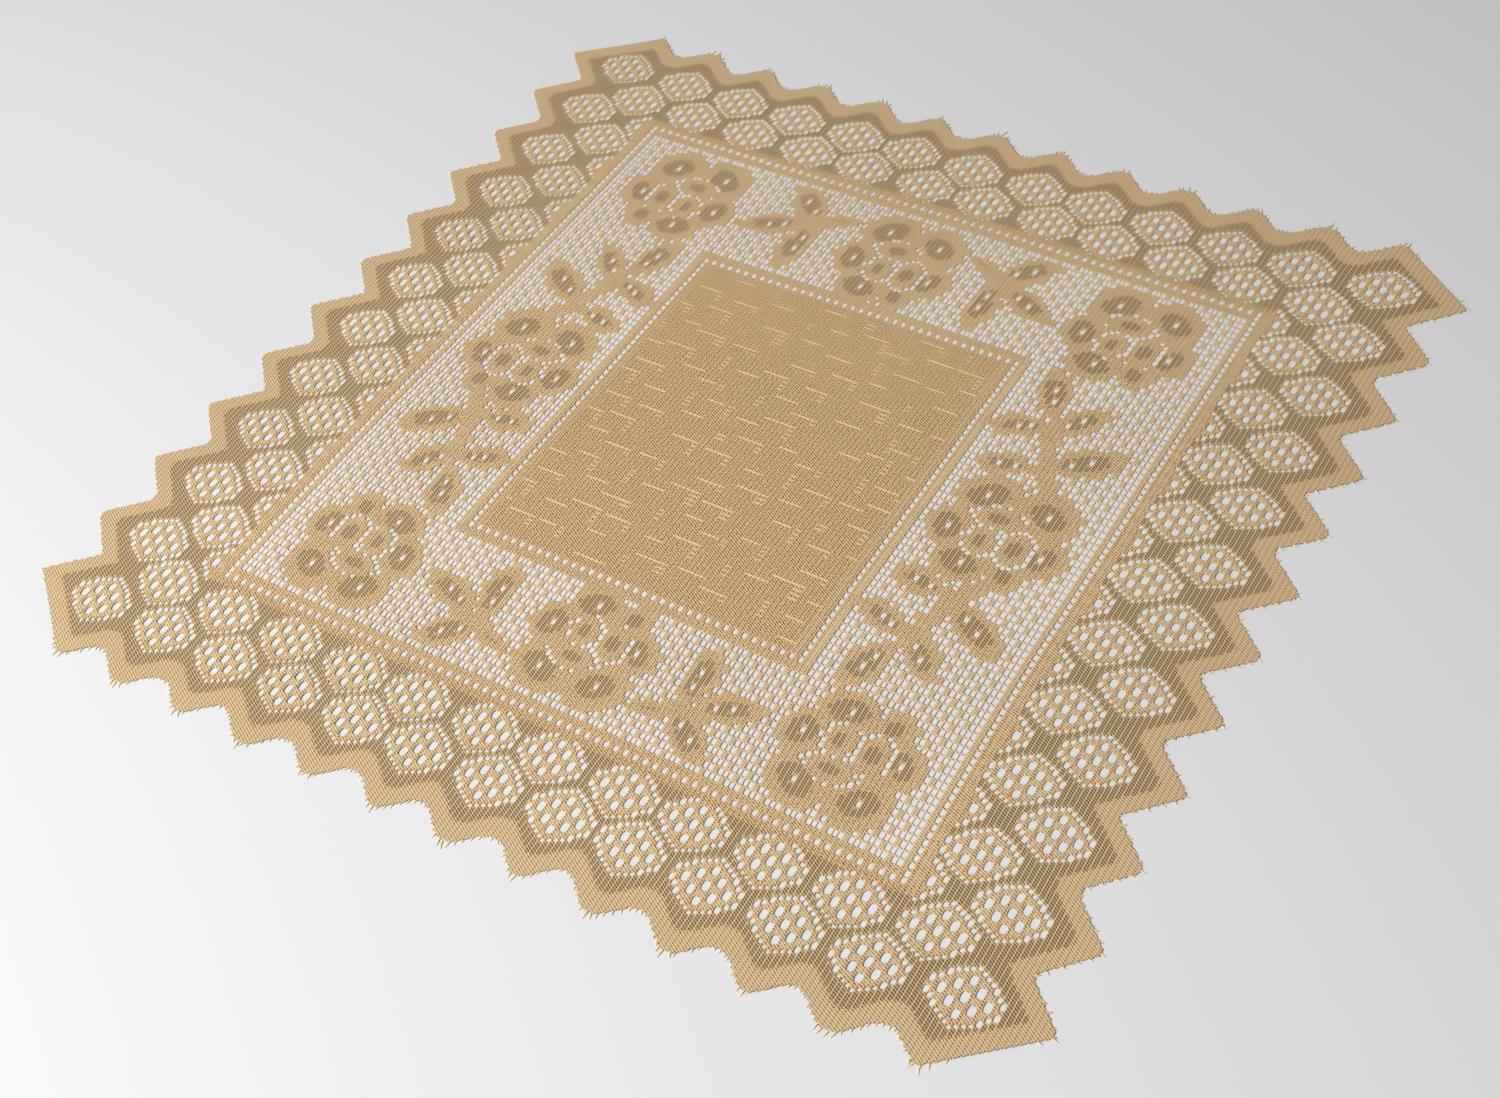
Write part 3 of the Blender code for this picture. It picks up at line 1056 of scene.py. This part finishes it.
def fine_shade(tree, wales, courses):
    """Give the painted shade of the fine ground's gaps, between its single threads and the slanting ones that
    cross them.
    """
    between = link_math(tree, "ADD", wales, 0.5)
    thick = link_math(tree, "POWER", wave(tree, between), FINE_THREAD_SHARPNESS)
    thin = link_math(tree, "POWER", wave(tree, wales), FINE_THREAD_SHARPNESS)
    threads = link_math(tree, "ADD", thick, link_math(tree, "MULTIPLY", thin, THIN_THREAD_SHARE))
    gap_shade = link_math(tree, "SUBTRACT", 1.0, threads)
    rows = link_math(tree, "POWER", slanting_rows(tree, wales, courses), FINE_ROW_SHARPNESS)
    crossed = link_math(tree, "MULTIPLY", rows, 1.0 - FINE_CROSSING)
    return link_math(tree, "MULTIPLY", gap_shade, link_math(tree, "ADD", crossed, FINE_CROSSING))


def noise(tree, scale, detail):
    """Add a noise that runs across the cloth, the same at every height."""
    place = tree.nodes.new("ShaderNodeTexCoord")
    node = tree.nodes.new("ShaderNodeTexNoise")
    node.noise_dimensions = "2D"
    node.inputs["Scale"].default_value = scale
    node.inputs["Detail"].default_value = detail
    tree.links.new(place.outputs["Object"], node.inputs["Vector"])
    return node.outputs["Fac"]


def mix_colours(tree, share, first, second):
    """Mix two colours by a share."""
    node = tree.nodes.new("ShaderNodeMix")
    node.data_type = "RGBA"
    tree.links.new(share, node.inputs[0])
    for socket, value in ((node.inputs[6], first), (node.inputs[7], second)):
        if isinstance(value, tuple):
            socket.default_value = value
        else:
            tree.links.new(value, socket)
    return node.outputs[2]


def read_attribute(tree, name):
    """Read the three parts of one of the mesh's own attributes."""
    place = tree.nodes.new("ShaderNodeAttribute")
    place.attribute_name = name
    parts = tree.nodes.new("ShaderNodeSeparateXYZ")
    tree.links.new(place.outputs["Vector"], parts.inputs[0])
    return parts.outputs


def knit_hollow_shade(tree, place, tone):
    """Give the painted shade of the close knit's hollows, mottled a little, but not on slubs and less on the
    fine ground.
    """
    wales, courses, calm = place
    pale, slub, fine = tone
    closeness = less(tree, 1.0, pale, PALE_CALM)
    hollow_shade = link_math(tree, "MULTIPLY", stitch_hollows(tree, wales, courses), closeness)
    mottle = link_math(tree, "SUBTRACT", noise(tree, MOTTLE_SCALE, MOTTLE_DETAIL), NOISE_MIDDLE)
    strength = less(tree, MOTTLE_SHARE, calm, MOTTLE_SHARE * MOTTLE_CALM)
    hollow_shade = link_math(tree, "ADD", hollow_shade, link_math(tree, "MULTIPLY", mottle, strength))
    bare = less(tree, less(tree, 1.0, fine, FINE_CALM), slub, 1.0)
    hollow_shade = link_math(tree, "MULTIPLY", hollow_shade, bare)
    return link_math(tree, "MAXIMUM", hollow_shade, 0.0)


def yarn_colour(tree, pale, hem, layers):
    """Mix the yarn's colour: close or single threads, slow patches, then each layer with its share, painted
    shade among them.
    """
    yarn = mix_colours(tree, pale, CLOSE_COLOUR, THREAD_COLOUR)
    patches = link_math(tree, "MULTIPLY", noise(tree, PATCH_SCALE, PATCH_DETAIL), PATCH_SHARE)
    patches = link_math(tree, "ADD", patches, link_math(tree, "MULTIPLY", hem, HEM_DARKNESS))
    yarn = mix_colours(tree, patches, yarn, PATCH_COLOUR)
    for part, share, colour in layers:
        yarn = mix_colours(tree, link_math(tree, "MULTIPLY", part, share), yarn, colour)
    return yarn


def raise_stitches(tree, hollow_shade):
    """Let the stitches' hollows and the yarn's fuzz show as a fine relief."""
    fuzz = link_math(tree, "MULTIPLY", noise(tree, FUZZ_SCALE, FUZZ_DETAIL), FUZZ_SHARE)
    bump = tree.nodes.new("ShaderNodeBump")
    bump.inputs["Distance"].default_value = STITCH_RELIEF
    bump.inputs["Strength"].default_value = 1.0
    tree.links.new(link_math(tree, "SUBTRACT", fuzz, hollow_shade), bump.inputs["Height"])
    return bump.outputs[0]


def yarn_material():
    """Make the beige yarn: deeper in close knit, paler on single threads, with fine stitches and painted
    shade in their hollows and gaps.
    """
    material = bpy.data.materials.new("lace_yarn")
    material.use_nodes = True
    tree = material.node_tree
    shader = tree.nodes["Principled BSDF"]
    wales, courses, evenness = read_attribute(tree, "knit")
    pale, slub, fine = read_attribute(tree, "tone")
    calm = link_math(tree, "MINIMUM", evenness, 1.0)
    hem = link_math(tree, "SUBTRACT", evenness, calm)
    # Painted shade in the stitches' hollows, which also shapes their bump
    hollow_shade = knit_hollow_shade(tree, (wales, courses, calm), (pale, slub, fine))
    # Painted shade in the fine ground's uncut gaps
    gap_shade = link_math(tree, "MULTIPLY", fine, fine_shade(tree, wales, courses))
    layers = (
        (slub, SLUB_SHARE, SLUB_COLOUR),
        (gap_shade, FINE_GAP_SHADE_SHARE, FINE_GAP_SHADE_COLOUR),
        (hollow_shade, HOLLOW_SHADE_SHARE, HOLLOW_SHADE_COLOUR),
    )
    tree.links.new(yarn_colour(tree, pale, hem, layers), shader.inputs["Base Color"])
    tree.links.new(raise_stitches(tree, hollow_shade), shader.inputs["Normal"])
    shader.inputs["Roughness"].default_value = YARN_ROUGHNESS
    shader.inputs["Specular IOR Level"].default_value = YARN_SHINE
    shader.inputs["Sheen Weight"].default_value = YARN_SHEEN
    return material


def floor_material():
    """Make the floor's plain, pale and matt material."""
    material = bpy.data.materials.new("floor_pale")
    material.use_nodes = True
    shader = material.node_tree.nodes["Principled BSDF"]
    shader.inputs["Base Color"].default_value = FLOOR_COLOUR
    shader.inputs["Roughness"].default_value = FLOOR_ROUGHNESS
    shader.inputs["Specular IOR Level"].default_value = FLOOR_SHINE
    return material


def build_cloth(material):
    """Make the cloth's pieces; their flat sizes are measured but not used."""
    chart = knit_chart()
    points, knit, tone = knit_points(chart)
    kept = kept_strips(chart)
    ends = build_thread_ends(material)
    pieces = [ends]
    for name, (cells, steps) in cloth_windows().items():
        window = window_of(cells, steps)
        piece, size, area = build_window(name, points, knit, tone, kept, window, material)
        pieces.append(piece)
    for piece in pieces:
        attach(piece, "root")
        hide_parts("topper")


def build_floor():
    """Lay the plain pale floor under the cloth."""
    mesh = bpy.data.meshes.new("floor")
    half = FLOOR_SIZE / 2
    corners = [(-half, -half, 0.0), (half, -half, 0.0), (half, half, 0.0), (-half, half, 0.0)]
    mesh.from_pydata(corners, [], [(0, 1, 2, 3)])
    floor = add_object("floor", mesh, floor_material())


def add_area_light(name, place, size, power, colour):
    """Hang one soft lamp that looks at the cloth's middle."""
    data = bpy.data.lights.new(name, "AREA")
    data.size = size
    data.energy = power
    data.color = colour
    lamp = bpy.data.objects.new(name, data)
    lamp.location = place
    lamp.rotation_euler = (-mathutils.Vector(place)).to_track_quat("-Z", "Y").to_euler()
    bpy.context.scene.collection.objects.link(lamp)


def light_studio():
    """Light the cloth softly from the near side, with an even fill all round."""
    for name, place, size, power, colour in LAMPS:
        add_area_light(name, place, size, power, colour)
    world = bpy.data.worlds.new("studio")
    world.use_nodes = True
    sky = world.node_tree.nodes["Background"]
    sky.inputs["Color"].default_value = FILL_COLOUR
    sky.inputs["Strength"].default_value = FILL_STRENGTH
    bpy.context.scene.world = world
    bpy.context.scene.view_settings.view_transform = "Standard"


def place_camera():
    """Look at the cloth from the photograph's angle."""
    data = bpy.data.cameras.new("camera")
    data.lens = CAMERA_LENS
    data.sensor_width = CAMERA_SENSOR
    data.clip_start = CAMERA_CLIP[0]
    data.clip_end = CAMERA_CLIP[1]
    camera = bpy.data.objects.new("camera", data)
    camera.location = CAMERA_PLACE
    camera.rotation_euler = [math.radians(angle) for angle in CAMERA_TURN]
    bpy.context.scene.collection.objects.link(camera)
    bpy.context.scene.camera = camera


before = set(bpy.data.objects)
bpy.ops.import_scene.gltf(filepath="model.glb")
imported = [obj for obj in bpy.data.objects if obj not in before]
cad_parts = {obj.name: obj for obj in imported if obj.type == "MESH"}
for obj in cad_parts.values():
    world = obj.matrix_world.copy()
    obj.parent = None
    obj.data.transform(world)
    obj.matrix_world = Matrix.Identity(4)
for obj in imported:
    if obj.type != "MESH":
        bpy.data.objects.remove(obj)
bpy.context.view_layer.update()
build_floor()
build_cloth(yarn_material())
light_studio()
place_camera()
